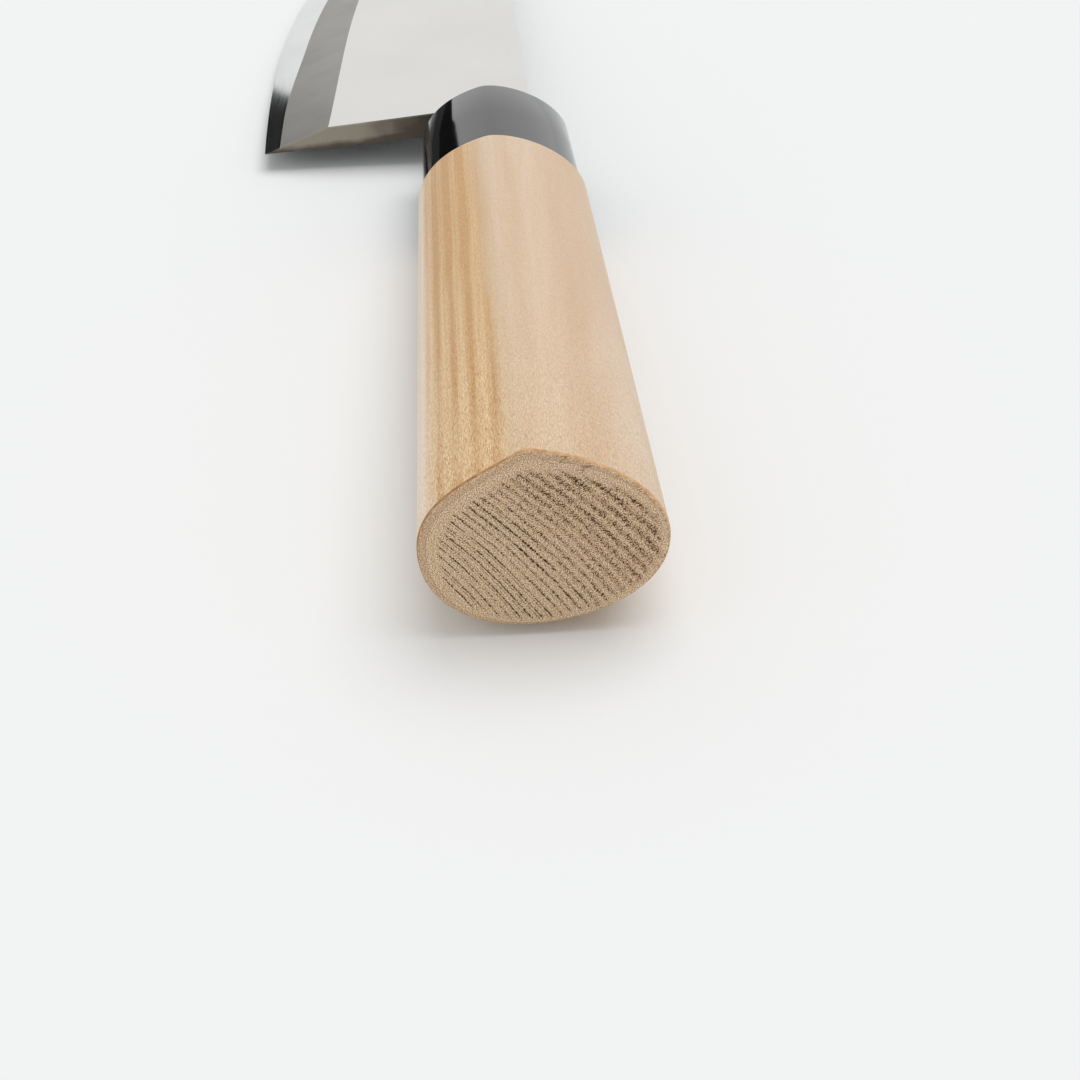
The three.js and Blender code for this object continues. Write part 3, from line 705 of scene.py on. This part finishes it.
def makeCladding():
    bm = bmesh.new()
    rings = []
    for run in bladeRuns:
        if run > ironEnd:
            break
        corners = cornersAt(run)
        spineY, spineZ, shinogiY, shinogiZ = corners[:4]
        weld, x = weldAt(run), blade["choil"] + run
        rings.append(addRing(bm, [
            (x, spineY, weld), (x, bevelAt(corners, weld), weld),
            (x, max(shinogiY, spineY + blade["leastWidth"]), shinogiZ), (x, spineY, spineZ)]))
    bridgeRings(bm, rings)
    capRing(bm, rings[0])
    capRing(bm, rings[-1])
    tidyNormals(bm)
    # eased corners along the spine and round the choil
    lowest = blade["weldLevel"] + blade["weldSwell"] + blade["easedAboveWeld"]
    eased = [e for e in bm.edges if e.calc_face_angle(0) > math.radians(blade["easedAngle"])
             and all(v.co.z > lowest or v.co.x < blade["choil"] + nearly for v in e.verts)
             and max(v.co.z for v in e.verts) > lowest]
    bmesh.ops.bevel(bm, geom=eased, offset=blade["easing"], offset_type="OFFSET", affect="EDGES",
                    segments=2, profile=0.5, material=-1)
    # choil opened for the neck, which flares into it
    choilFace = max((f for f in bm.faces if f.normal.x < -square), key=lambda f: f.calc_area())
    choilRim = list(choilFace.edges)
    bmesh.ops.delete(bm, geom=[choilFace], context="FACES_ONLY")
    necks = [addRing(bm, tangPoints(tang["end"])), addRing(bm, tangPoints(tang["front"]))]
    for step in range(tang["filletSteps"] + 1):
        along = step / tang["filletSteps"] * tang["fillet"]
        flare = tang["fillet"] - math.sqrt(tang["fillet"] ** 2 - along ** 2)
        necks.append(addRing(bm, tangPoints(blade["choil"] - tang["fillet"] + along, 0.0, flare)))
    bridgeRings(bm, necks)
    capRing(bm, necks[0])
    fillBetween(bm, choilRim, necks[-1])
    tidyNormals(bm)
    for face in bm.faces:
        atNeck = face.calc_center_median().x < blade["choil"] + blade["easing"]
        if atNeck or abs(face.normal.z) < blade["ironSide"]:
            face.material_index = 2
        elif face.normal.y > blade["bevelTilt"]:
            face.material_index = 1
    finishPiece(bm, "iron_blade_and_tang", [ironBuffed(), ironStoned(), ironGround()],
                "blade_cladding", sharpAngle=8)


def makeEdgeLayer():
    bm = bmesh.new()
    rings = []
    steps = blade["hollowSteps"]
    shares = [step / steps for step in range(-steps, steps + 1)]
    for run in bladeRuns:
        corners = cornersAt(run)
        spineY, spineZ, edgeY = corners[0], corners[1], corners[4]
        x, back, top = blade["choil"] + run, blade["backLevel"], min(weldAt(run), spineZ)
        middle, half, depth = hollowAt(run, spineY, edgeY)
        hollow = [(x, middle + share * half, back + depth * (1 - share ** 2)) for share in shares]
        rings.append(addRing(bm, [
            (x, spineY, top), (x, spineY, back), *hollow, (x, edgeY, back),
            (x, max(spineY + blade["leastWidth"], bevelAt(corners, top)), top)]))
    bridgeRings(bm, rings)
    capRing(bm, rings[0])
    capRing(bm, rings[-1])
    tidyNormals(bm)
    for face in bm.faces:
        centre = face.calc_center_median()
        run = min(max(centre.x - blade["choil"], 0.0), blade["edgeLength"])
        middle, half = hollowAt(run, spineAt(run), curveAt("edge", run))[:2]
        if abs(face.normal.z) < blade["steelSide"]:
            face.material_index = 1
        elif face.normal.z < 0 and abs(centre.y - middle) < half:
            face.material_index = 2
    finishPiece(bm, "hard_steel_edge_layer", [steelPolished(), ironGround(), steelHollow()],
                "edge_steel", sharpAngle=8)


# resin in the handle: both solids stay as they are and get a poured finish

resins = {  # name, dark tone, pale tone and size of the mottle in mm
    "mouth_seal": ("sealing_resin_poured", "#221e1a", "#352f29", 1.5),
    "tang_bedding": ("bedding_resin_poured", "#a87f48", "#c39a61", 2.5),
}


def dressResin(node):
    # poured and left to set: half dull, softly mottled and a little uneven
    name, darkTone, paleTone, grain = resins[node]
    material, tree, shader, place = newMaterial(name, Roughness=0.5)
    mottle = addNode(tree, "ShaderNodeTexNoise", {"Vector": place, "Scale": perMm(grain), "Detail": 4.0})
    tone = addNode(tree, "ShaderNodeValToRGB", {"Fac": mottle}, stops=[(0.3, darkTone), (0.7, paleTone)])
    bump = addNode(tree, "ShaderNodeBump", {"Height": mottle, "Strength": 0.2, "Distance": 0.1 * mm})
    wire(tree, shader, Base_Color=tone, Normal=bump)
    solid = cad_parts[node]
    solid.data.materials.clear()
    solid.data.materials.append(material)
    print("dressed", node)


makeGrip()
makeFerrule()
makeCladding()
makeEdgeLayer()
for node in resins:
    dressResin(node)


# studio

studio = {
    "cameraPlace": (-172.6, 1.83, 117.25), "cameraTurn": (55.666, 4.836, -93.754), "lens": 57.683,
    "floorUp": (-0.0319, -0.0675, 0.99721), "floorReach": -14.40,
    "floorSize": 60000,  # half its width, far enough for a level horizon
    "sensorWidth": 36, "clipStart": 0.01,  # in mm and in metres
    "keyFrom": (120, -220, 690), "keySpread": 55, "keyPower": 1.45, "worldLight": 0.62,
    "flagNear": (1113, 286), "flagFoot": (1113, 160), "flagFar": (620, 940),
    "flagKnee": 170, "flagHeight": 320,
    "paintedShadeSheet": ((160, 12), (1113, 160), (620, 940), (150, 75)), "paintedShadeSheetLift": 0.03,
}


def stagePlane(name, corners, material):
    bm = bmesh.new()
    bmesh.ops.contextual_create(bm, geom=[bm.verts.new(Vector(c) * mm) for c in corners])
    mesh = bpy.data.meshes.new(name)
    bm.to_mesh(mesh)
    bm.free()
    mesh.materials.append(material)
    plane = bpy.data.objects.new(name, mesh)
    bpy.context.scene.collection.objects.link(plane)
    return plane


def makeStudio():
    scene = bpy.context.scene
    camera = bpy.data.cameras.new("camera")
    camera.lens, camera.sensor_width = studio["lens"], studio["sensorWidth"]
    camera.clip_start = studio["clipStart"]
    viewer = bpy.data.objects.new("camera", camera)
    viewer.location = Vector(studio["cameraPlace"]) * mm
    viewer.rotation_euler = Euler([math.radians(a) for a in studio["cameraTurn"]])
    scene.collection.objects.link(viewer)
    scene.camera = viewer

    # pale floor through the points that the knife rests on
    up = Vector(studio["floorUp"]).normalized()
    side = up.cross(Vector((1, 0, 0))).normalized()
    ahead = side.cross(up)
    reach = studio["floorSize"]
    paper = newMaterial("paper_matte_white", Base_Color=linear("#eceded"), Roughness=0.95,
                        Specular_IOR_Level=0.0)[0]
    stagePlane("floor", [up * studio["floorReach"] + ahead * a * reach + side * b * reach
                         for a, b in ((-1, -1), (1, -1), (1, 1), (-1, 1))], paper)

    # painted reflection: a dark flag ahead on the left, seen only in the polished surfaces, stands in for
    # the dark surroundings mirrored there
    paintedReflection = newMaterial("painted_reflection_black", Base_Color=linear("#0c0d0c"), Roughness=1.0)[0]
    low, high = studio["floorReach"], studio["flagHeight"]
    flag = stagePlane("flag", [
        (*studio["flagFoot"], low), (*studio["flagFar"], low), (*studio["flagFar"], high),
        (*studio["flagNear"], high), (*studio["flagNear"], studio["flagKnee"])], paintedReflection)
    # painted shade: a dark sheet on the floor under the blade, seen only in reflections, stands in for the
    # shadow beneath it
    lift = low + studio["paintedShadeSheetLift"]
    paintedShadeSheet = stagePlane("paintedShadeSheet", [
        (x, y, (lift - up.x * x - up.y * y) / up.z) for x, y in studio["paintedShadeSheet"]], paintedReflection)
    for card in (flag, paintedShadeSheet):
        card.visible_camera = card.visible_diffuse = card.visible_shadow = False
        card.visible_transmission = card.visible_volume_scatter = False

    # broad soft light from above, a little to the right, that lights the floor evenly
    key = bpy.data.lights.new("key", "SUN")
    key.angle, key.energy = math.radians(studio["keySpread"]), studio["keyPower"]
    lamp = bpy.data.objects.new("key", key)
    lamp.rotation_euler = Vector(studio["keyFrom"]).to_track_quat("Z", "Y").to_euler()
    lamp.visible_glossy = False  # metal mirrors the studio's white, not the lamp
    scene.collection.objects.link(lamp)

    scene.world = bpy.data.worlds.new("studio")
    scene.world.use_nodes = True
    tree = scene.world.node_tree
    tree.nodes.clear()
    rays = addNode(tree, "ShaderNodeLightPath").node.outputs
    seen = addNode(tree, "ShaderNodeMath", {0: rays["Is Camera Ray"], 1: rays["Is Glossy Ray"]},
                   operation="MAXIMUM")
    seen = addNode(tree, "ShaderNodeMath", {0: seen, 1: rays["Is Transmission Ray"]}, operation="MAXIMUM")
    strength = addNode(tree, "ShaderNodeMapRange", {"Value": seen, "To Min": studio["worldLight"]})
    sky = addNode(tree, "ShaderNodeBackground", {"Color": (1, 1, 1, 1), "Strength": strength})
    addNode(tree, "ShaderNodeOutputWorld", {"Surface": sky})
    scene.view_settings.view_transform = "Standard"
    print("studio ready")


makeStudio()
